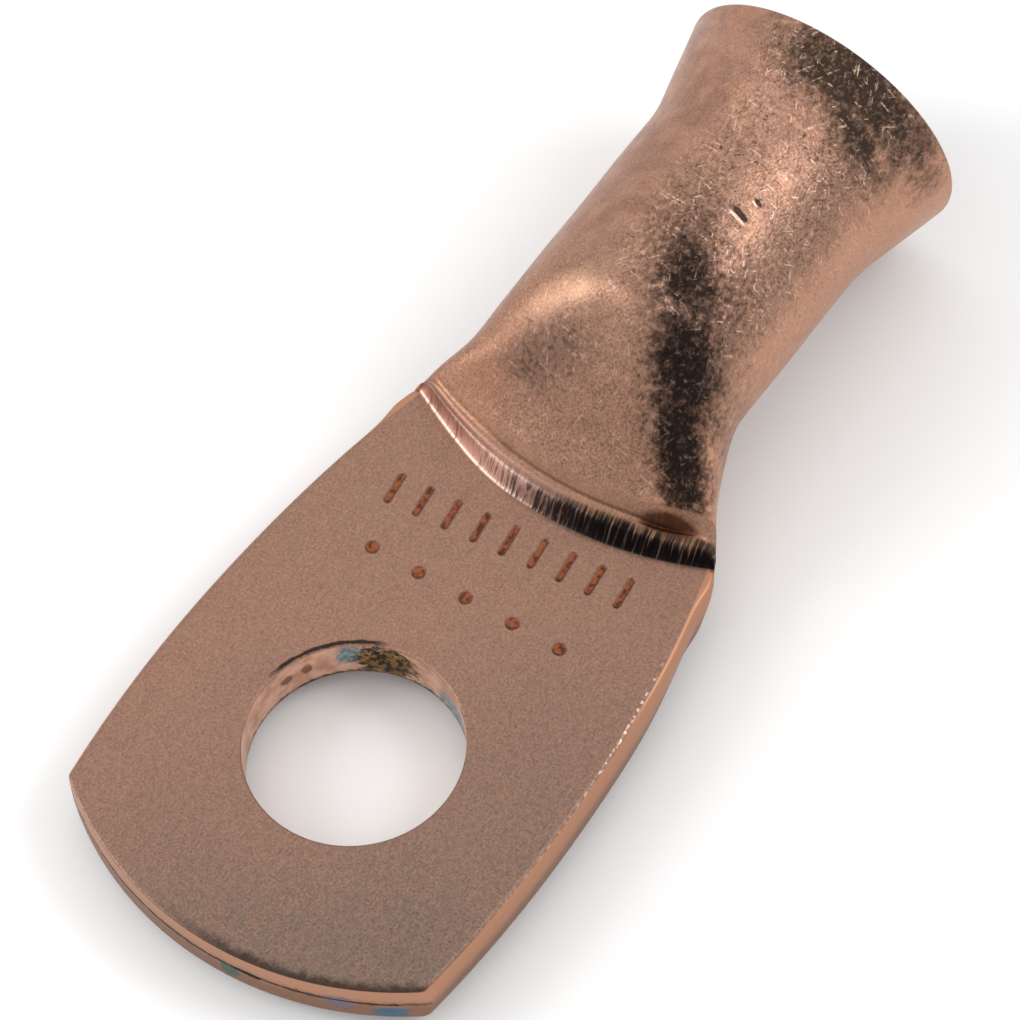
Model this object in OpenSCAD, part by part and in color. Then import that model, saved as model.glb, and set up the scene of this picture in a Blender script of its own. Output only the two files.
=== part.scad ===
// Copper cable lug, made from one length of tube. One end stays round as the wire
// barrel and is belled open at its mouth. The other is squeezed flat into a palm of two
// pressed walls, sheared to a round tip and pierced for a terminal stud.
// Millimetres. The origin is the stud hole's centre on the palm's underside, +X runs
// along the barrel to its mouth and +Z points up out of the palm.

/* [Tube] */
// Outside diameter of the tube
tube_od = 8.0; // [7:0.1:9]
// Wall of the tube before it is pressed
tube_wall = 1.0; // [0.7:0.05:1.2]

/* [Palm] */
// Thickness of the palm, both pressed walls together
palm_thickness = 1.7; // [1.4:0.05:2]
// Width of the palm where it is widest
palm_width = 14.2; // [13.4:0.1:15]
// Distance of the widest place from the stud hole, towards the tip
palm_widest_at = 0.4; // [0.2:0.1:2]
// Radius of the palm's bowed sides
palm_side_radius = 42; // [38:1:90]
// Distance of the tip from the stud hole's centre
palm_tip_reach = 7.8; // [6.5:0.1:9]
// Radius of the sheared tip
palm_tip_radius = 11; // [10:0.1:20]
// Bulge of the folded side edges at mid-thickness
fold_crown = 0.25; // [0.1:0.01:0.35]
// Slit between the two pressed walls, open at the tip and in the stud hole
seam_gap = 0.06; // [0.04:0.01:0.12]

/* [Stud hole] */
// Diameter of the hole that takes the terminal stud
stud_hole_d = 6.8; // [5:0.1:8.4]

/* [Step] */
// Distance of the step's foot from the stud hole's centre, on the centre line
step_from_hole = 9.7; // [9:0.1:11]
// Rise of the step from the palm to its lip, on the centre line
step_rise = 0.65; // [0.4:0.05:1]
// Radius of the step's curve seen from above
step_radius = 13; // [11:0.5:20]
// Lean of the step's face away from upright, in degrees
step_draft = 18; // [5:1:30]
// Fillet at the step's foot
step_fillet = 0.25; // [0.1:0.05:0.35]
// Length of the shelf between the step's foot and the start of the slope
shelf_length = 0.35; // [0.3:0.05:0.8]

/* [Slope] */
// Length over which the tube is squeezed from round to flat
slope_length = 5; // [4:0.1:7]
// Angle at which the slope leaves the shelf, in degrees
slope_start_angle = 31; // [20:1:40]
// How square the underside's corners are next to the palm, 1 is fully round
heel_roundness = 0.45; // [0.35:0.05:1]

/* [Barrel] */
// Length of the round barrel, from the top of the slope to the mouth
barrel_length = 10.05; // [8:0.05:20]
// Length of the belled mouth
bell_length = 3.5; // [2.5:0.1:4]
// Outside diameter of the mouth
bell_od = 9.65; // [9.1:0.05:11]
// Radius that blends the barrel into the bell
bell_blend = 5; // [3:0.5:9]

/* [Hidden] */
$fn = 96;

// Sides of each ring of the squeezed part, and rings along it
ring_sides = 48;
ring_count = 16;
// How far a cutting shape runs past the face that it opens
overrun = 1;

tube_r = tube_od / 2;
bore_r = tube_r - tube_wall;
step_x = step_from_hole;
shelf_end = step_x + shelf_length;
slope_end = shelf_end + slope_length;
mouth = slope_end + barrel_length;
bell_corner = mouth - bell_length;
bell_angle = atan((bell_od - tube_od) / 2 / bell_length);
shelf_height = palm_thickness + step_rise;
seam_height = palm_thickness / 2;
// Half-height of the closed end of the cavity against the slit that joins it
pinch_share = 1.5;
pinch = seam_gap * pinch_share;
// How much steeper the cavity's roof opens than the slope above it
roof_share = 1.5;
// The slope's last ring ends this far inside the turned barrel, and the cavity's this
// far inside the bore, so that no facet lies on a round edge
ring_inset = 0.015;
// The pressed end of the loft starts this much narrower, inside the palm's folds
tuck = 0.3;
// Angle at which the foot fillet meets the palm, in degrees
foot_angle = 20;
copper = [0.66, 0.46, 0.37];

// Cubic from start to finish as t goes from 0 to 1. It leaves at the given slope, which
// is a rise for the whole of t, and arrives level.
function ease(start, rise, finish, t) =
    start * (2 * pow(t, 3) - 3 * pow(t, 2) + 1)
    + rise * (pow(t, 3) - 2 * pow(t, 2) + t)
    + finish * (3 * pow(t, 2) - 2 * pow(t, 3));

// Half-width of a tube of diameter d that is squeezed to height h: its girth is kept
function squeezed_half_width(d, h) = PI * (d - h) / 4 + h / 2;

// How far the step's curve has gone back from its foremost point at a distance y from
// the centre line
function bow(y) = step_radius - sqrt(pow(step_radius, 2) - pow(y, 2));

// One ring across the tube at x: flat above and below, with round ends. The corners of
// its lower half are squarer as corner falls below 1. Its top leans back to follow the
// step's curve as follow rises to 1, and its underside stays at x.
function ring(x, low, high, half_width, corner, follow) = [
    for (i = [0 : ring_sides - 1])
        let (
            a = 360 * i / ring_sides,
            r = (high - low) / 2,
            power = a > 180 ? corner : 1,
            y = sign(cos(a)) * (half_width - r + r * pow(abs(cos(a)), power)),
            z = low + r + sign(sin(a)) * r * pow(abs(sin(a)), power)
        )
        [x + follow * bow(y) * z / high, y, z]
];

// Round ring about the tube's axis
function round_ring(x, r) = ring(x, tube_r - r, tube_r + r, r, 1, 0);

// Closed skin over rings that follow each other along +X
module skin(rings) {
    n = ring_sides;
    last = len(rings) - 1;
    start_cap = [for (i = [0 : n - 1]) i];
    end_cap = [for (i = [n - 1 : -1 : 0]) last * n + i];
    near_halves = [
        for (k = [0 : last - 1])
            for (i = [0 : n - 1])
                [k * n + i, (k + 1) * n + i, (k + 1) * n + (i + 1) % n]
    ];
    far_halves = [
        for (k = [0 : last - 1])
            for (i = [0 : n - 1])
                [k * n + i, (k + 1) * n + (i + 1) % n, k * n + (i + 1) % n]
    ];
    polyhedron(
        points = [for (loop = rings) each loop],
        faces = concat([start_cap], [end_cap], near_halves, far_halves)
    );
}

// Outside of the tube from the shelf, where it is pressed flat, up to the round barrel
module slope_outside() {
    rise = slope_length * tan(slope_start_angle);
    shelf_start = step_x - palm_thickness;
    start_half_width = squeezed_half_width(tube_od, shelf_height) - tuck;
    start_ring = ring(shelf_start, 0, shelf_height, start_half_width, heel_roundness, 1);
    slope_rings = [
        for (k = [0 : ring_count - 1])
            let (
                t = k / ring_count,
                height = ease(shelf_height, rise, tube_od, t),
                half_width = squeezed_half_width(tube_od, height),
                corner = ease(heel_roundness, 0, 1, t)
            )
            ring(shelf_end + slope_length * t, 0, height, half_width, corner, 1 - t)
    ];
    end_ring = round_ring(slope_end, tube_r - ring_inset);
    skin(concat([start_ring], slope_rings, [end_ring]));
}

// The cavity under the slope: the bore closes down to the slit between the walls
module slope_cavity() {
    bore_d = 2 * bore_r;
    start = shelf_end + tube_wall / 2;
    rise = roof_share * slope_length * tan(slope_start_angle);
    slope_rings = [
        for (k = [0 : ring_count - 1])
            let (
                t = k / ring_count,
                low = ease(seam_height - pinch, 0, tube_wall, t),
                high = ease(seam_height + pinch, rise, tube_wall + bore_d, t),
                half_width = squeezed_half_width(bore_d, high - low)
            )
            ring(start + slope_length * t, low, high, half_width, 1, 0)
    ];
    end_ring = round_ring(start + slope_length, bore_r - ring_inset);
    skin(concat(slope_rings, [end_ring]));
}

// Radius against distance along the tube, for one surface of the belled barrel: a
// parallel stretch, then a soft bend of the blend radius, then the straight bell
module bell_profile(radius, corner, blend, from, to) {
    setback = blend * tan(bell_angle / 2);
    difference() {
        polygon([
            [0, from],
            [radius, from],
            [radius, corner - setback],
            [radius + setback * sin(bell_angle), corner + setback * cos(bell_angle)],
            [radius + (to - corner) * tan(bell_angle), to],
            [0, to]
        ]);
        translate([radius + blend, corner - setback])
            circle(r = blend);
    }
}

// Turns a profile about the tube's axis
module turned() {
    translate([0, 0, tube_r])
        rotate([0, 90, 0])
            rotate_extrude()
                children();
}

module barrel_outside() {
    turned()
        bell_profile(tube_r, bell_corner, bell_blend, slope_end, mouth);
}

// The wire's bore, which follows the bell at the same wall
module wire_bore() {
    inner_corner = bell_corner + tube_wall * tan(bell_angle / 2);
    turned()
        bell_profile(
            bore_r, inner_corner, bell_blend + tube_wall,
            slope_end + tube_wall / 2, mouth + overrun
        );
}

// Disc whose rim bulges like a folded edge. Two of them bound the palm's sides.
module folded_disc() {
    half = palm_thickness / 2;
    bulge_r = (pow(half, 2) + pow(fold_crown, 2)) / (2 * fold_crown);
    core = palm_side_radius - bulge_r;
    rotate_extrude() {
        square([core, palm_thickness]);
        intersection() {
            translate([core, 0])
                square([bulge_r, palm_thickness]);
            translate([core, half])
                circle(r = bulge_r);
        }
    }
}

// Flat blank of the palm, from its sheared tip to the curve of the step. Its far end
// slopes back below, where it runs into the rounder fold of the slope.
module palm_slab() {
    side_y = palm_side_radius - palm_width / 2;
    under_radius = step_radius + palm_thickness / 2;
    end_lean = (under_radius - step_radius + step_fillet) / palm_thickness;
    difference() {
        intersection() {
            translate([-palm_widest_at, -side_y, 0])
                folded_disc();
            translate([-palm_widest_at, side_y, 0])
                folded_disc();
            translate([palm_tip_radius - palm_tip_reach, 0, 0])
                cylinder(r = palm_tip_radius, h = palm_thickness);
        }
        translate([step_x + step_radius, 0, -overrun])
            cylinder(
                r1 = under_radius + overrun * end_lean,
                r2 = step_radius - step_fillet - overrun * end_lean,
                h = palm_thickness + 2 * overrun
            );
    }
}

// What the press die takes away above the palm: everything outside the step's curve.
// Its foot is rounded, tangent to the leaning face.
module die_space() {
    reach = step_radius + step_x + palm_tip_reach + overrun;
    top = palm_thickness + tube_od;
    lean = (top - palm_thickness) * tan(step_draft);
    centre_r = step_radius + step_fillet * (1 - cos(foot_angle) * sin(step_draft)) / cos(step_draft);
    centre_z = palm_thickness + step_fillet * cos(foot_angle);
    translate([step_x + step_radius, 0, 0])
        rotate_extrude()
            difference() {
                polygon([
                    [step_radius, palm_thickness],
                    [reach, palm_thickness],
                    [reach, top],
                    [step_radius - lean, top]
                ]);
                difference() {
                    polygon([
                        [step_radius, palm_thickness],
                        [centre_r - step_fillet * sin(foot_angle), palm_thickness],
                        [centre_r, centre_z],
                        [centre_r - step_fillet * cos(step_draft), centre_z - step_fillet * sin(step_draft)]
                    ]);
                    translate([centre_r, centre_z])
                        circle(r = step_fillet);
                }
            }
}

// The slit where the two pressed walls of the palm meet, closed by the side folds
module seam() {
    fold = palm_thickness / 2;
    side_y = palm_side_radius - palm_width / 2;
    length = palm_tip_reach + overrun + shelf_end + tube_wall / 2 + pinch;
    translate([0, 0, seam_height - seam_gap / 2])
        linear_extrude(seam_gap)
            intersection() {
                translate([-palm_widest_at, -side_y])
                    circle(r = palm_side_radius - fold);
                translate([-palm_widest_at, side_y])
                    circle(r = palm_side_radius - fold);
                translate([-palm_tip_reach - overrun, -palm_width / 2])
                    square([length, palm_width]);
            }
}

module lug() {
    color(copper)
        difference() {
            union() {
                palm_slab();
                difference() {
                    slope_outside();
                    die_space();
                }
                barrel_outside();
            }
            slope_cavity();
            wire_bore();
            seam();
            translate([0, 0, -overrun])
                cylinder(d = stud_hole_d, h = palm_thickness + 2 * overrun);
        }
}

lug();
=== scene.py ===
import math
from collections import namedtuple

import bpy
import numpy as np
from mathutils import Matrix, Vector


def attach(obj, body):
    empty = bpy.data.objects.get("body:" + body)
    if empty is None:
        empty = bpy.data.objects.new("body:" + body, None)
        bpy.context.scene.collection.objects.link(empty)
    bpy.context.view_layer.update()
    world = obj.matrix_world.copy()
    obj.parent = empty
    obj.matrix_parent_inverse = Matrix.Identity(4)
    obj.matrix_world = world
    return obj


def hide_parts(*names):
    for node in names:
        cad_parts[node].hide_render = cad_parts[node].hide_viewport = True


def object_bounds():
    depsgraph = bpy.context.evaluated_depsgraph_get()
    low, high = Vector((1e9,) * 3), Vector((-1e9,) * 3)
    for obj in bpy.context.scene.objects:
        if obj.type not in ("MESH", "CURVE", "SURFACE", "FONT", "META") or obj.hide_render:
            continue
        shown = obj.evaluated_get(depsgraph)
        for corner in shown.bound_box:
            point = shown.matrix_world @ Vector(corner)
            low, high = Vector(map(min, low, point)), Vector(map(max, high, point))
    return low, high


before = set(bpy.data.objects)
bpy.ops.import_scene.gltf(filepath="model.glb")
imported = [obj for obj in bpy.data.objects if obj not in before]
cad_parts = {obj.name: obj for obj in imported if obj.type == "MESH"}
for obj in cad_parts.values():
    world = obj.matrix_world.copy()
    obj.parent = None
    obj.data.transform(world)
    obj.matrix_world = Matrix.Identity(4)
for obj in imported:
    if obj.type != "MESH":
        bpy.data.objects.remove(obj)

cad_box = [list(corner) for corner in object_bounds()]

# ---------------------------------------------------------------------------
# The camera: a long lens high above the palm's tip, looking up along the lug.
# ---------------------------------------------------------------------------
CAMERA_AZIMUTH = -137.885
CAMERA_ELEVATION = 60.364
CAMERA_ROLL = -7.77
CAMERA_DISTANCE = 0.300
CAMERA_AIM = Vector((0.00725, -0.00101, 0.00628))
CAMERA_LENS = 354.2


def bearing(azimuth, elevation):
    """The direction out of the lug at a bearing and a height, in degrees."""
    azimuth = math.radians(azimuth)
    elevation = math.radians(elevation)
    return Vector((math.cos(elevation) * math.cos(azimuth),
                   math.cos(elevation) * math.sin(azimuth),
                   math.sin(elevation)))


towards = bearing(CAMERA_AZIMUTH, CAMERA_ELEVATION)
roll = Matrix.Rotation(math.radians(CAMERA_ROLL), 3, "Z")
turn = (-towards).to_track_quat("-Z", "Y").to_matrix() @ roll
bpy.ops.object.camera_add(location=CAMERA_AIM + towards * CAMERA_DISTANCE,
                          rotation=turn.to_euler())
camera = bpy.context.object
camera.data.lens = CAMERA_LENS
camera.data.sensor_width = 36
camera.data.clip_start = 0.01
bpy.context.scene.camera = camera

# ---------------------------------------------------------------------------
# The lug: one length of soft copper tube. One end is pressed flat into a palm, its tip
# is sheared to a round, the wire end is belled, and a stud hole is drilled last.
# ---------------------------------------------------------------------------
MM = 0.001

# The tube, and what is left of its length, in mm
TUBE_R = 4.0
BORE_R = 3.0
WALL = TUBE_R - BORE_R
TIP_X = cad_box[0][0] / MM
MOUTH_X = cad_box[1][0] / MM

# The palm is two walls with a slit between them. Its sides are folds that bulge by CROWN
PALM_H = 1.7
SLIT = 0.06
HALF_WIDTH = 7.085
WIDEST_X = -0.4
SIDE_R = 42.0
CROWN = 0.25
TIP_R = 11.0
HOLE_R = 3.4
# Sections curve along the tip's arc before this place, and along the step's after it
TURNING_X = 1.5

# The die's step, with its lip and the crease behind it, and the slope up to the barrel
STEP_X = 9.7
STEP_R = 13.0
SHELF_H = 2.35
LIP_X = 10.17
LIP_RISE = 0.07
LIP_REACH = 0.13
CREASE_X = 10.42
CREASE_DEPTH = 0.05
CREASE_REACH = 0.08
HEEL_START = STEP_X - 2.0
SLOPE_START = 10.05
SLOPE_LENGTH = 5.0
SLOPE_END = SLOPE_START + SLOPE_LENGTH
SLOPE_ANGLE = 31
ROOF_SHARE = 1.5

# The bell is a soft bend and then a straight flare. Its bore bends a little later
BELL_X = 21.6
BELL_BLEND = 5.0
BELL_R = (cad_box[1][2] - cad_box[0][2]) / 2 / MM
BELL_SLOPE = (BELL_R - TUBE_R) / (MOUTH_X - BELL_X)
BELL_BORE_LAG = 0.12

# Corners of a section: how far they reach, and their squareness, where 2 is a true round.
# The underside's corners are squarer from HEEL_START on, and open out up the slope.
ROUND = 2
EDGE_REACH = CROWN + 0.06
EDGE_SQUARE = 2.6
SHELF_REACH = 0.55
HEEL_SQUARE = 1.4

# Edges are worn round, each by its own radius
TIP_WEAR = 0.07
RIM_WEAR = 0.16
HOLE_WEAR = 0.08

# How far the lug is from true: it spreads beside the step's foot, has a waist on the slope,
# leans at its mouth, bulges on the right, and its step's foot narrows to the left
SPREAD = 0.2
SPREAD_REACH = 0.8
WAIST = 0.12
WAIST_X = 12.3
WAIST_REACH = 1.1
MOUTH_SLANT = 0.018
MOUTH_LEAN = 0.09
RIGHT_BULGE = 0.02
RIGHT_BULGE_X = 6.2
RIGHT_BULGE_REACH = 2.6
FOOT_NARROWS = 0.26
FOOT_NARROWS_FROM = 1.2
FOOT_NARROWS_TO = 5.2
WAVER = 0.006

# Behind the lip, the die's corner left a hollow and pushed up a little metal past it:
# rise, place and reach along x. Both are HOLLOW_WIDE
HOLLOWS = ((-0.2, CREASE_X + 0.02, -3.85, 0.2), (0.05, CREASE_X + 0.42, -4.1, 0.16))
HOLLOW_WIDE = 0.8

# Two gouges on the barrel's top: place, half-length, half-width and bearing
GOUGES = ((18.85, -1.45, 0.36, 0.15, 76), (19.5, -1.65, 0.2, 0.11, 70))
GOUGE_DEPTH = 0.07
BURR_RISE = 0.02

# The mesh: points round the tube, and the two rounds of splits that give its stations
SIDES = 232
SPLITS = (5, 42)
STATIONS = SPLITS[0] * SPLITS[1] + 1
WORN_STATIONS = 5

# A section across the tube. upper and lower hold the reach and squareness of its corners.
# tip_share and follow say how much its points lean back along the tip's and step's arcs
Section = namedtuple("Section", "half_width low high middle upper lower tip_share follow")


def ease(start, rise, finish, t):
    """A cubic that leaves start at the given rise and arrives level at finish."""
    return (start * (2 * t**3 - 3 * t**2 + 1) + rise * (t**3 - 2 * t**2 + t)
            + finish * (3 * t**2 - 2 * t**3))


def smooth(low, high, value):
    """0 up to low, 1 from high on, and a soft step between."""
    t = np.clip((value - low) / (high - low), 0, 1)
    return t * t * (3 - 2 * t)


def mound(value, place, reach):
    """1 at a place, and falling off softly on both sides of it."""
    return np.exp(-((value - place) / reach)**2)


def bow(y, radius):
    """How far an arc of this radius has gone back at a distance y from its middle. It goes
    back no further once y is nearly the radius."""
    return radius - np.sqrt(radius**2 - np.minimum(np.abs(y), 0.95 * radius)**2)


def rolled(distance, radius):
    """How far a worn edge has drawn in at a distance from the end that it rounds."""
    return radius - np.sqrt(radius**2 - np.clip(radius - distance, 0, radius)**2)


def squeezed_half_width(d, h):
    """Half-width of a tube of diameter d squeezed to height h, its girth kept."""
    return np.pi * (d - h) / 4 + h / 2


def palm_half_width(x):
    """Half-width of the palm between its two bowed sides."""
    return np.sqrt(SIDE_R**2 - (x - WIDEST_X)**2) - (SIDE_R - HALF_WIDTH)


def bell(x, radius, blend, corner):
    """Radius of the belled barrel, with a soft bend where the bell begins."""
    run = x - corner
    soft = blend * BELL_SLOPE / 2
    bent = np.where(run < soft, (run + soft)**2 / (4 * soft) * BELL_SLOPE, run * BELL_SLOPE)
    return radius + np.where(run < -soft, 0, bent)


def round_section(radius):
    """A section of the barrel, round about the tube's axis."""
    corners = (radius, ROUND)
    return Section(radius, TUBE_R - radius, TUBE_R + radius, TUBE_R, corners, corners, 0, 0)


def outer_skin(x):
    """The section of the lug's outside at a station."""
    if x > SLOPE_END:
        worn = rolled(MOUTH_X - x, RIM_WEAR)
        return round_section(float(bell(x, TUBE_R, BELL_BLEND, BELL_X) - worn))
    t = np.clip((x - SLOPE_START) / SLOPE_LENGTH, 0, 1)
    tip_share = 1 - smooth(TIP_X, TURNING_X, x)
    follow = smooth(TURNING_X, STEP_X - 0.6, x) * (1 - t)
    if x < SLOPE_START:
        top = PALM_H + (SHELF_H - PALM_H) * smooth(STEP_X - 0.12, SLOPE_START - 0.02, x)
    else:
        rise = SLOPE_LENGTH * math.tan(math.radians(SLOPE_ANGLE))
        top = (ease(SHELF_H, rise, 2 * TUBE_R, t) + LIP_RISE * mound(x, LIP_X, LIP_REACH)
               - CREASE_DEPTH * mound(x, CREASE_X, CREASE_REACH))
    half_width = squeezed_half_width(2 * TUBE_R, max(top, SHELF_H))
    if x < SLOPE_START:
        # A section is curved on plan, so its side lies where its own arc has taken it,
        # which three tries find closely enough
        side = half_width
        for again in range(3):
            leaned = tip_share * bow(side, TIP_R) + 0.5 * follow * bow(side, STEP_R)
            side = palm_half_width(x + leaned)
        half_width = side + (half_width - side) * smooth(STEP_X - 0.8, SLOPE_START, x)
    half_width = (half_width + SPREAD * mound(x, STEP_X - 0.4, SPREAD_REACH)
                  - WAIST * mound(x, WAIST_X, WAIST_REACH))
    # The fold's corners are tight along the palm and open to a full round up the slope
    fold = smooth(STEP_X - 0.3, SLOPE_START + 0.15, x)
    open_up = smooth(0, 0.5, t)
    heel = smooth(HEEL_START, SLOPE_START, x) * (1 - t)
    upper_reach = (EDGE_REACH + SHELF_REACH * fold
                   + (top / 2 - EDGE_REACH - SHELF_REACH) * fold * open_up)
    upper_square = EDGE_SQUARE - (EDGE_SQUARE - ROUND) / 2 * fold * (1 + open_up)
    lower_reach = (EDGE_REACH
                   + (top / 2 - EDGE_REACH) * smooth(HEEL_START, SLOPE_START + 0.6, x))
    lower_square = EDGE_SQUARE + HEEL_SQUARE * heel - (EDGE_SQUARE - ROUND) * smooth(0, 1, t)
    worn = rolled(x - TIP_X, TIP_WEAR)
    return Section(half_width - worn, worn, top - worn, top / 2, (upper_reach, upper_square),
                   (lower_reach, max(lower_square, ROUND)), tip_share, follow)


def inner_skin(x):
    """The section of the bore, which closes down to the slit between the palm's walls."""
    start = SLOPE_START + WALL / 2
    if x > start + SLOPE_LENGTH:
        worn = rolled(MOUTH_X - x, RIM_WEAR)
        bent = bell(x, BORE_R, BELL_BLEND + WALL, BELL_X + BELL_BORE_LAG)
        return round_section(float(bent + worn))
    t = np.clip((x - start) / SLOPE_LENGTH, 0, 1)
    tip_share = 1 - smooth(TIP_X, TURNING_X, x)
    rise = ROOF_SHARE * SLOPE_LENGTH * math.tan(math.radians(SLOPE_ANGLE))
    low = ease(PALM_H / 2 - SLIT / 2, 0, WALL, t)
    high = ease(PALM_H / 2 + SLIT / 2, rise, TUBE_R + BORE_R, t)
    half_width = squeezed_half_width(2 * BORE_R, high - low)
    if x < start:
        side = HALF_WIDTH
        for again in range(3):
            side = palm_half_width(x + tip_share * bow(side, TIP_R))
        closed = 1 - smooth(STEP_X - 1, start, x)
        half_width = half_width + (side - PALM_H / 2 - half_width) * closed
    corners = ((high - low) / 2, ROUND)
    return Section(half_width, low, high, (low + high) / 2, corners, corners, tip_share, 0)


# A drawn section has this many points, and a turn of one radian counts as so many mm of way
CORNER_POINTS = 160
FLAT_POINTS = 60
TURN_COUNTS_AS = 0.7


def quarter(half_width, middle, edge, reach, square):
    """A quarter of a section from its middle line to its side: flat, then a soft corner.
    Returns its points with the share of the way to each, which counts turns as way too."""
    angle = np.linspace(0, np.pi / 2, CORNER_POINTS)
    corner_y = half_width - reach + reach * np.sin(angle)**(2 / square)
    corner_z = middle + (edge - middle) * np.cos(angle)**(2 / square)
    flat = np.linspace(0, 1, FLAT_POINTS)[:-1] * (half_width - reach)
    y = np.concatenate([flat, corner_y])
    z = np.concatenate([np.full(flat.shape, edge), corner_z])
    length = np.hypot(np.diff(y), np.diff(z))
    heading = np.unwrap(np.arctan2(np.diff(z), np.diff(y)))
    turning = np.abs(np.diff(heading, prepend=heading[0]))
    share = np.concatenate([[0], np.cumsum(length + TURN_COUNTS_AS * turning)])
    return share / share[-1], y, z


def marred(section, x, back, y, z):
    """The outside with what the press, the die's corner and knocks have left on it."""
    y = y + RIGHT_BULGE * np.minimum(y, 0) * mound(x, RIGHT_BULGE_X, RIGHT_BULGE_REACH)
    narrowed = smooth(FOOT_NARROWS_FROM, FOOT_NARROWS_TO, y) * mound(x, STEP_X - 0.05, 0.36)
    back = back + FOOT_NARROWS * narrowed * smooth(0, PALM_H, z)
    upper = np.clip((z - section.middle) / (section.high - section.middle), 0, 1)
    for rise, place_x, place_y, long in HOLLOWS:
        z = z + rise * upper * mound(y, place_y, HOLLOW_WIDE) * mound(x, place_x, long)
    for place_x, place_y, long, wide, lean in GOUGES:
        lean = math.radians(lean)
        along = (x - place_x) * math.cos(lean) + (y - place_y) * math.sin(lean)
        across = (y - place_y) * math.cos(lean) - (x - place_x) * math.sin(lean)
        dug = GOUGE_DEPTH * mound(across, 0, wide)
        thrown_up = BURR_RISE * mound(across, 1.6 * wide, 0.7 * wide)
        z = z - upper * mound(along, 0, long) * (dug - thrown_up)
    # The barrel is never quite true
    barrel = smooth(12, 16, x) * (1 - smooth(21, 23.5, x))
    wave = 1 + np.sin(0.9 * x + 0.7) * np.sin(1.3 * y + 0.4 * x) * barrel
    y = y * (1 - WAVER * wave)
    z = section.middle + (z - section.middle) * (1 - WAVER * wave * barrel)
    return back, y, z


def pressed(skin, x, angle):
    """Places of one ring of points, which stood at these angles round the tube."""
    section = skin(x)
    side = np.where(angle < 0, -1, 1)
    up = np.abs(angle) * 2 / np.pi
    high_share, high_y, high_z = quarter(section.half_width, section.middle, section.high,
                                         *section.upper)
    low_share, low_y, low_z = quarter(section.half_width, section.middle, section.low,
                                      *section.lower)
    y = side * np.where(up <= 1, np.interp(up, high_share, high_y),
                        np.interp(2 - up, low_share, low_y))
    z = np.where(up <= 1, np.interp(up, high_share, high_z),
                 np.interp(2 - up, low_share, low_z))
    back = (section.tip_share * bow(y, TIP_R)
            + section.follow * bow(y, STEP_R) * z / section.high)
    # The mouth is cut a little askew, and the barrel's end leans to one side
    back = back - MOUTH_SLANT * (y + BELL_R) * smooth(20, MOUTH_X, x)
    y = y - MOUTH_LEAN * smooth(18, MOUTH_X, x)
    if skin is inner_skin:
        # Drilling smeared the slit shut round the hole
        gape = 0.1 + 0.9 * smooth(3.9, 4.7, np.hypot(x + back, y))
        z = section.middle + (z - section.middle) * gape
    else:
        back, y, z = marred(section, x, back, y, z)
    return np.stack([x + back, y, z], axis=1)


def pick_edges(wanted):
    """Selects the edges whose two ends pass a test, and stays in edit mode."""
    bpy.ops.object.mode_set(mode="EDIT")
    bpy.ops.mesh.select_mode(type="EDGE")
    bpy.ops.mesh.select_all(action="DESELECT")
    bpy.ops.object.mode_set(mode="OBJECT")
    mesh = bpy.context.object.data
    for edge in mesh.edges:
        edge.select = wanted(*(mesh.vertices[i].co for i in edge.vertices))
    bpy.ops.object.mode_set(mode="EDIT")


# Stations along the tube, closer together at the step and round the worn end edges
fine = np.linspace(TIP_X + TIP_WEAR, MOUTH_X - RIM_WEAR, 6001)
weight = (1 + 5 * mound(fine, STEP_X + 0.15, 0.45) + 1.2 * mound(fine, STEP_X + 0.9, 1.0)
          + 0.5 * mound(fine, TIP_X, 0.6) + 0.4 * mound(fine, 13, 2.5)
          + 1.0 * mound(fine, MOUTH_X, 0.5))
total = np.concatenate([[0], np.cumsum(weight[1:])])
even = np.linspace(0, total[-1], STATIONS - 2 * WORN_STATIONS)
corner_turn = 1 - np.cos(np.linspace(0, np.pi / 2, WORN_STATIONS + 1)[:-1])
station_x = np.concatenate([TIP_X + TIP_WEAR * corner_turn,
                            np.interp(even, total, fine),
                            MOUTH_X - RIM_WEAR * corner_turn[::-1]])

# The blank is a short tube along x, from -1 to 1 mm, split into its stations
bpy.ops.object.select_all(action="DESELECT")
bpy.ops.mesh.primitive_cylinder_add(vertices=SIDES, radius=TUBE_R * MM, depth=2 * MM,
                                    end_fill_type="NOTHING", rotation=(0, math.pi / 2, 0))
lug = bpy.context.object
lug.name = "copper_lug"
bpy.ops.object.transform_apply(location=True, rotation=True, scale=True)
for parts in SPLITS:
    pick_edges(lambda one, two: abs(one.x - two.x) > 0.001 * MM)
    bpy.ops.mesh.subdivide(number_cuts=parts - 1)

# Its bore is a narrower copy of its outside, and both ends are closed between the two
bpy.ops.mesh.select_all(action="SELECT")
bpy.ops.mesh.duplicate()
bpy.ops.transform.resize(value=(1, BORE_R / TUBE_R, BORE_R / TUBE_R))
bpy.ops.mesh.flip_normals()
for end in (-1, 1):
    pick_edges(lambda one, two: min(one.x * end, two.x * end) > 0.9999 * MM)
    bpy.ops.mesh.bridge_edge_loops()
bpy.ops.object.mode_set(mode="OBJECT")

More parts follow.
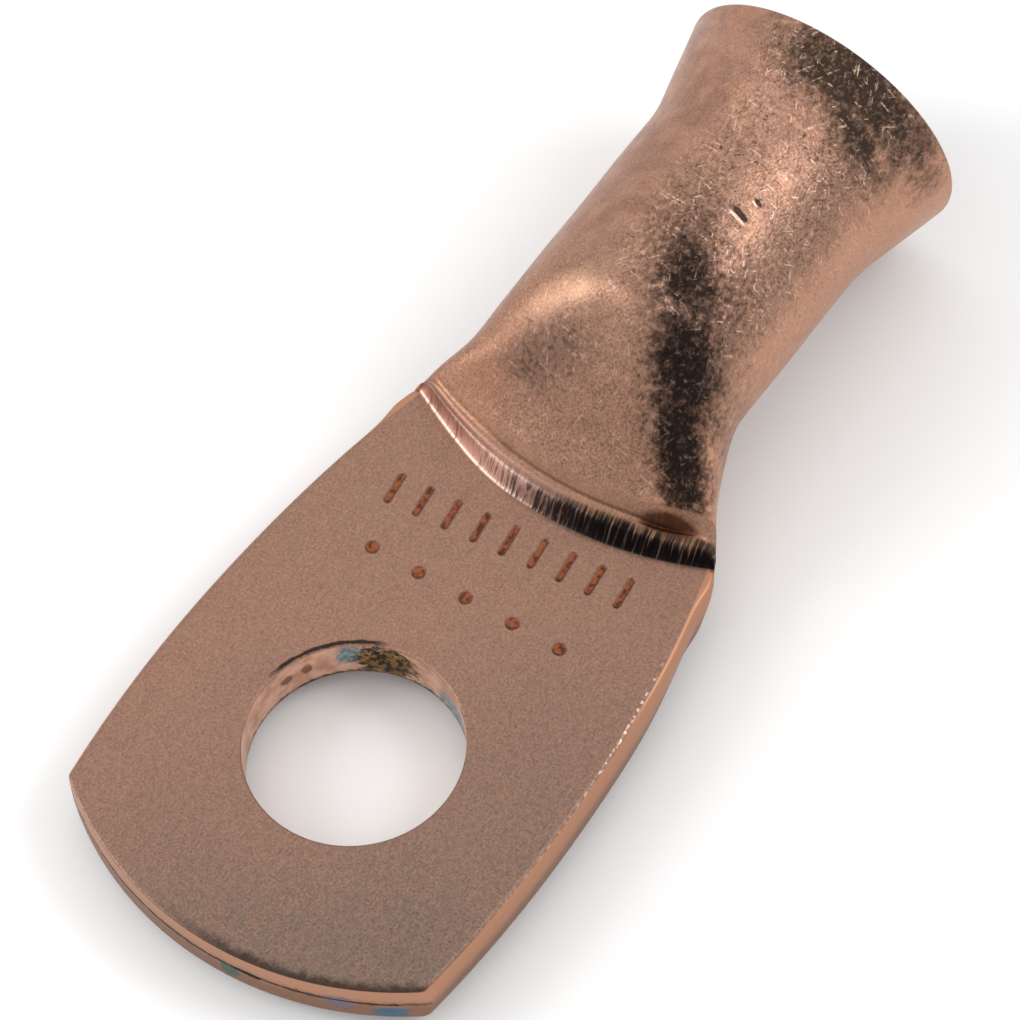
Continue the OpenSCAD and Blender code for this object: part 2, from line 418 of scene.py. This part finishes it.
# Pressing: every point of the blank goes to its place in the finished shape
mesh = lug.data
blank = np.empty(len(mesh.vertices) * 3)
mesh.vertices.foreach_get("co", blank)
blank = blank.reshape(-1, 3) / MM
station = np.rint((blank[:, 0] + 1) / 2 * (STATIONS - 1)).astype(int)
angle = np.arctan2(blank[:, 1], blank[:, 2])
outside = np.hypot(blank[:, 1], blank[:, 2]) > (TUBE_R + BORE_R) / 2
placed = np.empty_like(blank)
for number in range(STATIONS):
    for on_skin, skin in ((outside, outer_skin), (~outside, inner_skin)):
        ring = on_skin & (station == number)
        placed[ring] = pressed(skin, station_x[number], angle[ring])
mesh.vertices.foreach_set("co", (placed * MM).ravel())
mesh.update()
bpy.ops.object.mode_set(mode="EDIT")
bpy.ops.mesh.select_all(action="SELECT")
bpy.ops.mesh.normals_make_consistent(inside=False)
bpy.ops.object.mode_set(mode="OBJECT")

# Drilling: the drill's shape flares out at both faces, where the hole's rims are worn.
# It starts and ends OVERRUN past the palm.
OVERRUN = 1.0
rim_turns = np.linspace(0, np.pi / 2, 6)
profile = [(HOLE_R + HOLE_WEAR * (1 - math.sin(turn)), HOLE_WEAR * (1 - math.cos(turn)))
           for turn in rim_turns]
profile += [(radius, PALM_H - up) for radius, up in profile[::-1]]
profile.append((HOLE_R + HOLE_WEAR, PALM_H + OVERRUN))
bpy.ops.object.select_all(action="DESELECT")
bpy.ops.mesh.primitive_circle_add(vertices=160, radius=(HOLE_R + HOLE_WEAR) * MM,
                                  location=(0, 0, -OVERRUN * MM))
drill = bpy.context.object
drill.name = "drill"
bpy.ops.object.transform_apply(location=True, rotation=True, scale=True)
bpy.ops.object.mode_set(mode="EDIT")
bpy.ops.mesh.select_all(action="SELECT")
drawn = HOLE_R + HOLE_WEAR
height = -OVERRUN
for radius, z in profile:
    move = {"value": (0, 0, (z - height) * MM)}
    bpy.ops.mesh.extrude_region_move(TRANSFORM_OT_translate=move)
    bpy.ops.transform.resize(value=(radius / drawn, radius / drawn, 1))
    drawn = radius
    height = z
bpy.ops.mesh.edge_face_add()
pick_edges(lambda one, two: max(one.z, two.z) < -0.99 * OVERRUN * MM)
bpy.ops.mesh.edge_face_add()
bpy.ops.mesh.select_all(action="SELECT")
bpy.ops.mesh.normals_make_consistent(inside=False)
bpy.ops.object.mode_set(mode="OBJECT")
bpy.ops.object.select_all(action="DESELECT")
lug.select_set(True)
bpy.context.view_layer.objects.active = lug
cut = lug.modifiers.new("stud_hole", "BOOLEAN")
cut.operation = "DIFFERENCE"
cut.solver = "EXACT"
cut.object = drill
bpy.ops.object.modifier_apply(modifier=cut.name)
bpy.data.objects.remove(drill, do_unlink=True)
bpy.ops.object.shade_smooth_by_angle(angle=math.radians(35))

# The copper: bare, with a thin brown film, so nearly all metal. Each part of the lug has a
# coat of its own, and the coats are laid over each other by place. Places are in mm.
BARE = 0.88


class Finish:
    """A value or colour in a finish. Sums written on it add the nodes that work them out."""

    def __init__(self, tree, socket):
        self.tree = tree
        self.socket = socket

    def node(self, kind, settings, inputs, output=0):
        """Any node, from its type, its settings, and the values or links of its sockets."""
        made = self.tree.nodes.new(kind)
        for name, value in settings.items():
            setattr(made, name, value)
        for name, value in inputs.items():
            if isinstance(value, Finish):
                self.tree.links.new(value.socket, made.inputs[name])
            else:
                made.inputs[name].default_value = value
        return Finish(self.tree, made.outputs[output])

    def maths(self, operation, *values):
        return self.node("ShaderNodeMath", {"operation": operation}, dict(enumerate(values)))

    def __add__(self, other):
        return self.maths("ADD", self, other)

    def __radd__(self, other):
        return self.maths("ADD", other, self)

    def __sub__(self, other):
        return self.maths("SUBTRACT", self, other)

    def __rsub__(self, other):
        return self.maths("SUBTRACT", other, self)

    def __mul__(self, other):
        return self.maths("MULTIPLY", self, other)

    def __rmul__(self, other):
        return self.maths("MULTIPLY", other, self)

    def __pow__(self, other):
        return self.maths("POWER", self, other)

    def __abs__(self):
        return self.maths("ABSOLUTE", self)

    def least(self, other):
        return self.maths("MINIMUM", self, other)

    def most(self, other):
        return self.maths("MAXIMUM", self, other)

    def over(self, low, high):
        """0 below low, 1 above high, and a soft step between; low may be the larger."""
        return self.node("ShaderNodeMapRange", {"interpolation_type": "SMOOTHSTEP"},
                         {"Value": self, "From Min": low, "From Max": high})

    def mix(self, below, above):
        """The colour above laid over the one below, as strongly as this value says."""
        return self.node("ShaderNodeMix", {"data_type": "RGBA"},
                         {0: self, 6: below, 7: above}, 2)


copper = bpy.data.materials.new("copper")
copper.use_nodes = True
tree = copper.node_tree
tree.nodes.remove(tree.nodes["Principled BSDF"])
place = Finish(tree, tree.nodes.new("ShaderNodeTexCoord").outputs["Object"])
place = place.node("ShaderNodeVectorMath", {"operation": "SCALE"}, {0: place, "Scale": 1 / MM})
plan = place.node("ShaderNodeVectorMath", {"operation": "MULTIPLY"}, {0: place, 1: (1, 1, 0)})
x, y, z = (place.node("ShaderNodeSeparateXYZ", {}, {0: place}, axis) for axis in range(3))


def seen(red, green, blue):
    """A colour as it looks on a screen, from 0 to 255, as the shader's light values."""
    return tuple((part / 255)**2.2 for part in (red, green, blue)) + (1,)


def noise(scale, detail, rough=0.55, where=place):
    """Mottling of so many cells in a mm, around a half."""
    return where.node("ShaderNodeTexNoise", {}, {"Vector": where, "Scale": scale,
                                                 "Detail": detail, "Roughness": rough})


def framed(centre, size, turn_z=0):
    """The place as seen from a centre, turned about the vertical and measured in sizes."""
    return place.node("ShaderNodeMapping", {"vector_type": "TEXTURE"},
                      {"Vector": place, "Location": centre,
                       "Rotation": (0, 0, math.radians(turn_z)), "Scale": size})


def patch(centre, size, turn_z=0):
    """0 at the centre of an egg-shaped patch and 1 on its outline."""
    inside = framed(centre, size, turn_z)
    return inside.node("ShaderNodeVectorMath", {"operation": "LENGTH"}, {0: inside}, 1)


def away(centre):
    """Distance on plan from a place."""
    return plan.node("ShaderNodeVectorMath", {"operation": "DISTANCE"},
                     {0: plan, 1: centre}, 1)


def coat(colour, roughness, metallic, relief=None):
    """One metal finish, from its colour, roughness, bareness and relief in mm."""
    inputs = {"Base Color": colour, "Roughness": roughness, "Metallic": metallic}
    if relief is not None:
        inputs["Normal"] = place.node("ShaderNodeBump", {}, {"Height": relief, "Strength": 1,
                                                             "Distance": MM})
    return place.node("ShaderNodeBsdfPrincipled", {}, inputs)


def cover(share, below, above):
    """One coat laid over another where the share is 1."""
    return place.node("ShaderNodeMixShader", {}, {0: share, 1: below, 2: above})


# Grain and mottling that all the coats share, from fine to coarse
grain = noise(13, 0)
speckle = noise(4.8, 1, 0.7)
mottle = noise(1.2, 2, 0.65)
fuzz = noise(3, 2, 0.8) - 0.5
flat_tone = grain + speckle * 0.6 - 0.3
faint = mottle * 0.1 + 0.18
fine_relief = grain * 0.004 + speckle * 0.006
GRAIN_DARK = seen(66, 48, 40)
GRAIN_PALE = seen(232, 184, 158)

# Distances in from the sides and the tip, out from the hole, and on past the step's foot.
# The step's arc is followed out to where y squared is STEP_ARC_END.
STEP_ARC_END = 150
from_side = SIDE_R - away((WIDEST_X, HALF_WIDTH - SIDE_R, 0)).most(
    away((WIDEST_X, SIDE_R - HALF_WIDTH, 0)))
from_tip = TIP_R - away((TIP_X + TIP_R, 0, 0))
from_hole = away((0, 0, 0)) - HOLE_R
along_step = x - STEP_R + (STEP_R**2 - (y * y).least(STEP_ARC_END))**0.5
past_foot = along_step - y.over(FOOT_NARROWS_FROM, FOOT_NARROWS_TO) * FOOT_NARROWS

# The palm's flat faces: handled, so duller, and darker and greyer towards the tip and right side,
# which is painted shade
painted_shade_drift = ((x + y) * -0.07 + noise(0.3, 0) * 0.5 + 0.02).most(0).least(1)
palm_colour = painted_shade_drift.mix(seen(139, 105, 90), seen(98, 87, 80))
palm_colour = (mottle.over(0.4, 0.75) * 0.4).mix(palm_colour, seen(126, 92, 80))
palm_colour = faint.mix(palm_colour, flat_tone.mix(GRAIN_DARK, GRAIN_PALE))

# Its top alone has painted shade along its edges at the tip and right side, black at the hole's
# left rim, bright chips on the right edge and painted shade in the step's foot
topside = z.over(0.6, 1.0)
# Painted shade: dark bands along the top's edges at the tip and right side
tip_edge_shade = (from_tip + fuzz * 0.4).over(0.42, 0.06) * y.over(2.5, -1.5)
side_edge_shade = abs(from_side + fuzz * 0.08 - 0.12).over(0.08, 0.03) * x.over(2, -1)
top_edge_shade = tip_edge_shade.most(side_edge_shade * y.over(0, -1))
palm_colour = (top_edge_shade * topside * 0.8).mix(palm_colour, seen(44, 35, 30))
rim_black = (abs(from_hole - 0.12) + fuzz * 0.12).over(0.1, 0.04) * y.over(0.9, 1.6)
rim_black = rim_black * x.over(0.3, 1)
palm_colour = (rim_black * topside * 0.9).mix(palm_colour, seen(28, 24, 22))
chips = abs(from_side - 0.16).over(0.06, 0.02) * speckle.over(0.46, 0.6)
chips = chips * abs(x - 2.4).over(5.8, 3.5) * y.over(0, -1)
palm_colour = (chips * topside * 0.75).mix(palm_colour, seen(244, 208, 190))
# Painted shade along the step's concave foot
foot_shade = (abs(past_foot - 9.62) + fuzz * 0.2).over(0.22, 0.04) * y.over(2.5, -1)
palm_colour = (foot_shade * topside * 0.45).mix(palm_colour, seen(50, 42, 40))


def row_of_marks(centre, turn_z, pitch, reach, half_stroke, half_line):
    """Distance outside the nearest mark of a row of short strokes or dots."""
    row = framed(centre, (1, 1, 1), turn_z)
    along = row.node("ShaderNodeSeparateXYZ", {}, {0: row}, 0)
    across = row.node("ShaderNodeSeparateXYZ", {}, {0: row}, 1)
    off = (abs(across) - half_stroke).most(0)
    beside = along.maths("PINGPONG", along, pitch / 2)
    return ((off * off + beside * beside)**0.5 - half_line).most(abs(along) - reach)


# Two rows of plain punch marks stand where a maker would stamp it: strokes, then dots
strokes = row_of_marks((8.3, 0.15, 0), 96, pitch=1.0, reach=4.4, half_stroke=0.45, half_line=0.07)
dots = row_of_marks((5.95, 0.1, 0), 92, pitch=1.7, reach=3.8, half_stroke=0.0, half_line=0.17)
mark_edge = strokes.least(dots) + (1 - topside)
ragged = mark_edge + fuzz * 0.06
rust = speckle.over(0.35, 0.6).mix(seen(92, 46, 28), seen(150, 84, 54))
palm_colour = (ragged.over(0.1, 0.02) * 0.75).mix(palm_colour, seen(70, 44, 36))
palm_colour = (ragged.over(0.03, -0.03) * 0.85).mix(palm_colour, rust)
palm_coat = coat(palm_colour, mottle * 0.2 + 0.38, BARE,
                 fine_relief - mark_edge.over(0.07, -0.02) * 0.03)

# The sheared tip and the folded sides are fresher and more orange than the faces, and darker low
# down and lighter high up, with painted shade below and painted light above. The two walls show
# at the tip, with the slit and stains between them.
# Painted shade low on the sides and painted light high on them, by height
edge_colour = (z + fuzz * 0.25).over(0.5, 1.25).mix(seen(132, 94, 72), seen(176, 128, 101))
at_slit = (abs(z - PALM_H / 2) + fuzz * 0.3).over(0.14, 0.04)
edge_colour = (from_tip.over(0.06, 0.03) * at_slit * 0.7).mix(edge_colour, seen(60, 44, 38))
for centre, size, stain in (((-6.2, -5.7, 0.35), (0.6, 0.6, 0.35), seen(52, 98, 122)),
                            ((-6.9, -4.35, 0.7), (0.5, 0.6, 0.4), seen(112, 98, 112)),
                            ((-7.76, -0.9, 0.55), (0.4, 0.34, 0.42), seen(62, 88, 80)),
                            ((-7.69, -1.55, 0.85), (0.4, 0.6, 0.14), seen(12, 10, 10))):
    stained = (patch(centre, size) + fuzz * 1.1).over(1.15, 0.65)
    edge_colour = (stained * 0.9).mix(edge_colour, stain)
edge_coat = coat(edge_colour, 0.44, BARE)

# The drilled wall is pink and bright, with verdigris and black residue in its far side
hole_colour = mottle.over(0.35, 0.65).mix(seen(222, 178, 154), seen(190, 142, 118))
spots = patch((1.62, 2.99, 0.95), (0.2, 0.2, 0.3)).least(
    patch((0.94, 3.27, 0.95), (0.28, 0.28, 0.24)))
hole_colour = ((spots + fuzz).over(1.1, 0.6) * 0.8).mix(hole_colour, seen(112, 72, 48))
teal = patch((2.66, 2.1, 1.1), (0.5, 0.5, 0.6)).least(
    patch((3.03, -1.54, 0.55), (0.95, 0.5, 0.55), 63))
teal = (teal + fuzz * 1.3).over(1.2, 0.6)
verdigris = speckle.over(0.35, 0.65).mix(seen(52, 108, 124), seen(128, 150, 146))
hole_colour = (teal * 0.9).mix(hole_colour, verdigris)
residue = (patch((3.2, 1.15, 0.8), (1.05, 0.6, 0.95), 108) + fuzz * 1.8).over(1.15, 0.65)
low_rim = (z + fuzz * 0.4).over(0.24, 0.1)
soot = speckle.over(0.42, 0.62).mix(seen(26, 22, 12), seen(132, 100, 44))
hole_colour = residue.most(low_rim).mix(hole_colour, soot)
hole_coat = coat(hole_colour, 0.44, BARE - teal * 0.5)

# The slope is browner than the tube, and more orange at its left fold
slope_colour = mottle.over(0.3, 0.7).mix(seen(146, 108, 88), seen(126, 92, 74))
left_fold = y.over(1.4, 3.4)
slope_colour = (left_fold * 0.5).mix(slope_colour, seen(150, 105, 80))
slope_colour = faint.mix(slope_colour, flat_tone.mix(GRAIN_DARK, GRAIN_PALE))

# The step's face is scraped up and down by the die. Its steep left face is bright, with painted
# light laid along the scrapes, and its right is darker, where a painted dark reflection spreads
# in from the right, near black
stepped = z.over(PALM_H - 0.15, PALM_H)
drag = noise(1, 1, 0.6, framed((7, 7, 7), (1.4, 0.09, 1.4)))
uneven = along_step + (drag - 0.5) * 0.5
scraped = uneven.over(10.14, 9.86) * (drag + fuzz * 0.3).over(0.3, 0.5)
# Painted light along the scrapes of the steep left face
scraped_left = scraped.mix(seen(142, 108, 94), seen(216, 178, 164))
scraped_right = drag.over(0.4, 0.7).mix(seen(70, 56, 46), seen(134, 104, 82))
face_colour = y.over(0, -2.5).mix(scraped_left, scraped_right)
# Painted dark reflection spreading across the face from the right
dark_reflection_share = ((1.2 - y) * 0.7 + (drag - 0.5) * 4 + fuzz * 1.5).most(0).least(1)
dark_reflection_share = dark_reflection_share * (uneven + y.over(-2.5, -5.5) * 0.16).over(10.2, 9.94) * stepped
dark_reflection_colour = drag.over(0.55, 0.78).mix(seen(14, 12, 14), seen(96, 84, 80))
face_colour = (dark_reflection_share * 0.97).mix(face_colour, dark_reflection_colour)
step_colour = (along_step.over(10.3, 10.12) * stepped).mix(slope_colour, face_colour)

# Behind the lip, a painted dark reflection darkens the hollow on the right to a reddish brown,
# and painted shade darkens the thin crease. A patch that is THROUGH high runs through the whole
# lug.
THROUGH = 1000
raised = z.over(2.0, 2.2)
hollow = (patch((10.98, -3.9, 0), (0.95, 0.27, THROUGH), 106) + fuzz * 0.5).over(1.15, 0.75)
crease_shade = abs(along_step - CREASE_X).over(0.07, 0.02) * abs(y + 0.9).over(3.8, 2.6)
hollow_reflection_colour = drag.mix(seen(44, 22, 18), seen(104, 64, 46))
# Painted dark reflection in the hollow
step_colour = (hollow * raised * 0.92).mix(step_colour, hollow_reflection_colour)
# Painted shade in the crease
step_colour = (crease_shade * raised * 0.6).mix(step_colour, seen(56, 34, 24))
step_coat = coat(step_colour, dark_reflection_share * 0.14 + 0.42, BARE, fine_relief)

# The tube: bare and pink, orange on its sides, its right side lighter with painted light, and
# rubbed rough along its top
bare_pink = mottle.over(0.35, 0.65).mix(seen(168, 124, 102), seen(140, 103, 88))
tube_colour = x.over(13.5, 16.5).mix(slope_colour, bare_pink)
# Painted light: the barrel's right side, low down, a lighter orange
lit_right_side = y.over(-2.6, -4.0) * z.over(6.5, 4.5)
tube_colour = lit_right_side.mix(tube_colour, seen(192, 142, 114))
# A painted dark reflection: a darker band along the barrel's right side
dark_reflection_band = (abs(y + 2.9) + fuzz * 1.2).over(1.0, 0.3) * abs(x - 19).over(4.5, 2.5) * z.over(4, 6)
tube_colour = (dark_reflection_band * 0.6).mix(tube_colour, seen(104, 80, 68))
tube_colour = (left_fold * x.over(25, 17) * 0.6).mix(tube_colour, seen(150, 105, 82))
rough_top = abs(y + 1.3).over(3.1, 1.6) * x.over(13.5, 16.5)
rough_tone = 0.5 + (grain - 0.5) * 1.1 + (speckle - 0.5) * (rough_top * 0.9 + 0.4)
tube_colour = (rough_top * 0.16 + 0.2).mix(tube_colour, rough_tone.mix(GRAIN_DARK, GRAIN_PALE))

# A painted dark reflection runs up beside the slope's right fold and spreads, browner, on the
# barrel's top
dark_reflection_streak = patch((12.5, -3.45, 0), (1.6, 0.75, THROUGH), 44).least(
    patch((14.3, -2.6, 0), (2.1, 1.2, THROUGH), 27)).least(
    patch((16.3, -1.45, 0), (2.5, 1.35, THROUGH), 32))
dark_reflection_streak = dark_reflection_streak + z.over(3.0, 2.0) * 3 + fuzz * 1.4
reflection_haze = dark_reflection_streak.over(1.75, 0.5)
reflection_core = (dark_reflection_streak + (x - 13.5) * 0.1).over(1.25, 0.4)
reflection_haze_colour = speckle.over(0.35, 0.65).mix(seen(66, 50, 42), seen(124, 94, 80))
reflection_core_colour = (speckle + grain * 0.5).over(0.8, 1.15).mix(seen(18, 15, 16), seen(92, 72, 62))
# The painted dark reflection: a browner haze round a near-black core
tube_colour = (reflection_haze * 0.75).mix(tube_colour, reflection_haze_colour)
tube_colour = (reflection_core * 0.93).mix(tube_colour, reflection_core_colour)

# A painted highlight along the left fold's ridge, a greyer patch on the slope, and a painted dark
# reflection on the bell
upper = z.over(4, 4.6)
# Painted highlight along the left fold's ridge
painted_highlight_ridge = (patch((14.1, 1.6, 0), (2.1, 0.6, THROUGH), -48) + fuzz * 0.7).over(1.25, 0.3)
tube_colour = (painted_highlight_ridge * upper * 0.2).mix(tube_colour, seen(214, 172, 140))
slope_patch = (patch((12.5, 1.65, 0), (1.8, 0.85, THROUGH), 115) + fuzz * 1.6).over(1.35, 0.2)
slope_patch_colour = speckle.over(0.3, 0.6).mix(seen(62, 50, 44), seen(120, 94, 82))
tube_colour = (slope_patch * upper * 0.65).mix(tube_colour, slope_patch_colour)
# Painted dark reflection along the bell's rim
bell_dark_reflection = patch((24.3, -1.9, 0), (2.6, 1.15, THROUGH), 92).least(
    patch((23.2, -2.6, 0), (1.5, 0.9, THROUGH), 60) + 0.3)
bell_dark_reflection = (bell_dark_reflection + fuzz * 1.4).over(1.5, 0.5) * upper
bell_reflection_colour = (speckle + grain * 0.4).over(0.68, 1.04).mix(seen(34, 31, 26), seen(108, 94, 80))
tube_colour = (bell_dark_reflection * 0.9).mix(tube_colour, bell_reflection_colour)


def hair(start, long, turn_z):
    """Noise drawn out into short hairs that lie one way, read from a start of its own."""
    return noise(1, 0, 0.5, framed((start, start, start), (long, 0.06, 0.4), turn_z))


# Fine scratches run several ways, bright where they are fresh and dark where they are old,
# with pits between them. The two gouges are dark inside, with bright burrs beside them.
one_way, other_way, cross_way = hair(3, 0.6, 24), hair(5, 0.5, -38), hair(9, 0.6, 85)
fresh = one_way.most(other_way).most(cross_way).over(0.7, 0.82) * speckle.over(0.42, 0.58)
old = one_way.least(other_way).least(cross_way).over(0.3, 0.2) * speckle.over(0.6, 0.48)
pits = (speckle + grain * 0.3).over(0.81, 0.88) * mottle.over(0.45, 0.55)
loose = (rough_top * 0.7 + 0.2).most(x.over(16.5, 13.5) * 0.45)
gouge = patch((18.85, -1.45, 8), (0.36, 0.14, 2), 76).least(
    patch((19.5, -1.65, 8), (0.2, 0.09, 2), 70))
burr = patch((18.68, -1.42, 8), (0.38, 0.07, 2), 80).least(
    patch((19.4, -1.58, 8), (0.12, 0.04, 2), 70))
tube_colour = (old * loose * 0.6).mix(tube_colour, seen(58, 42, 36))
tube_colour = (fresh * loose * (1 - reflection_core * 0.6) * 0.6).mix(tube_colour, seen(244, 206, 182))
tube_colour = (pits * loose * 0.8).mix(tube_colour, seen(40, 30, 26))
tube_colour = ((gouge + fuzz * 0.5).over(1.1, 0.6) * 0.9).mix(tube_colour, seen(38, 28, 26))
tube_colour = (burr.over(1.1, 0.6) * 0.7).mix(tube_colour, seen(236, 206, 184))
tube_rough = mottle * 0.2 + reflection_core.most(bell_dark_reflection) * 0.14 + painted_highlight_ridge * 0.1 + 0.3
tube_relief = (grain * 0.008 + speckle * 0.012) * (rough_top * 0.9 + 0.5)
tube_coat = coat(tube_colour, tube_rough, BARE, tube_relief)

# Each coat lies where its part of the lug is
faces = z.over(PALM_H - 0.1, PALM_H - 0.03) + z.over(0.02, 0.0)
flat = faces * from_side.over(0.05, 0.11) * from_hole.over(0.0, 0.02)
rim = cover(from_hole.over(0.03, 0.01), edge_coat, hole_coat)
palm = cover(flat, rim, palm_coat)
tube = cover(along_step.over(10.7, 10.8), step_coat, tube_coat)
whole = cover(past_foot.over(9.54, 9.62), palm, tube)
tree.links.new(whole.socket, tree.nodes["Material Output"].inputs["Surface"])
lug.data.materials.append(copper)
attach(lug, "root")
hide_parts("lug")

# ---------------------------------------------------------------------------
# The stage: a plain pale floor under the lug's lowest point, and soft studio light.
# ---------------------------------------------------------------------------
FLOOR_SHADE = 0.86
ROOM_LIGHT = 0.95
LAMP_AIM = Vector((0.010, 0, 0.004))

floor_z = cad_box[0][2]
bpy.ops.mesh.primitive_plane_add(size=2, location=(0, 0, floor_z))
floor = bpy.context.object
floor.name = "floor"
bpy.ops.object.transform_apply(location=True, rotation=True, scale=True)
paper = bpy.data.materials.new("paper")
paper.use_nodes = True
paper_shader = paper.node_tree.nodes["Principled BSDF"]
paper_shader.inputs["Base Color"].default_value = (FLOOR_SHADE, FLOOR_SHADE, FLOOR_SHADE, 1)
paper_shader.inputs["Roughness"].default_value = 1
floor.data.materials.append(paper)


def softbox(name, azimuth, elevation, distance, width, height, power):
    """A square lamp that looks at the lug from a bearing and a height, in degrees."""
    out = bearing(azimuth, elevation)
    bpy.ops.object.light_add(type="AREA", location=LAMP_AIM + out * distance,
                             rotation=out.to_track_quat("Z", "Y").to_euler())
    lamp = bpy.context.object
    lamp.name = name
    lamp.data.shape = "RECTANGLE"
    lamp.data.size = width
    lamp.data.size_y = height
    lamp.data.energy = power


softbox("strip_light", 126, 30, distance=0.45, width=0.10, height=0.36, power=0.8)
softbox("side_light", -54, 50, distance=0.45, width=0.16, height=0.16, power=0.4)
softbox("top_light", 60, 75, distance=0.5, width=0.5, height=0.5, power=0.18)

# The room is white where it is seen, straight or in the metal, and a little dimmer as light
world = bpy.data.worlds.new("studio")
world.use_nodes = True
light_path = world.node_tree.nodes.new("ShaderNodeLightPath")
camera_ray, glossy_ray, transmission_ray = (
    Finish(world.node_tree, light_path.outputs[ray])
    for ray in ("Is Camera Ray", "Is Glossy Ray", "Is Transmission Ray"))
shown = camera_ray.most(glossy_ray).most(transmission_ray)
brightness = ROOM_LIGHT + shown * (1 - ROOM_LIGHT)
background = world.node_tree.nodes["Background"]
background.inputs["Color"].default_value = (1, 1, 1, 1)
world.node_tree.links.new(brightness.socket, background.inputs["Strength"])
bpy.context.scene.world = world

bpy.context.scene.view_settings.view_transform = "Standard"
bpy.context.view_layer.update()
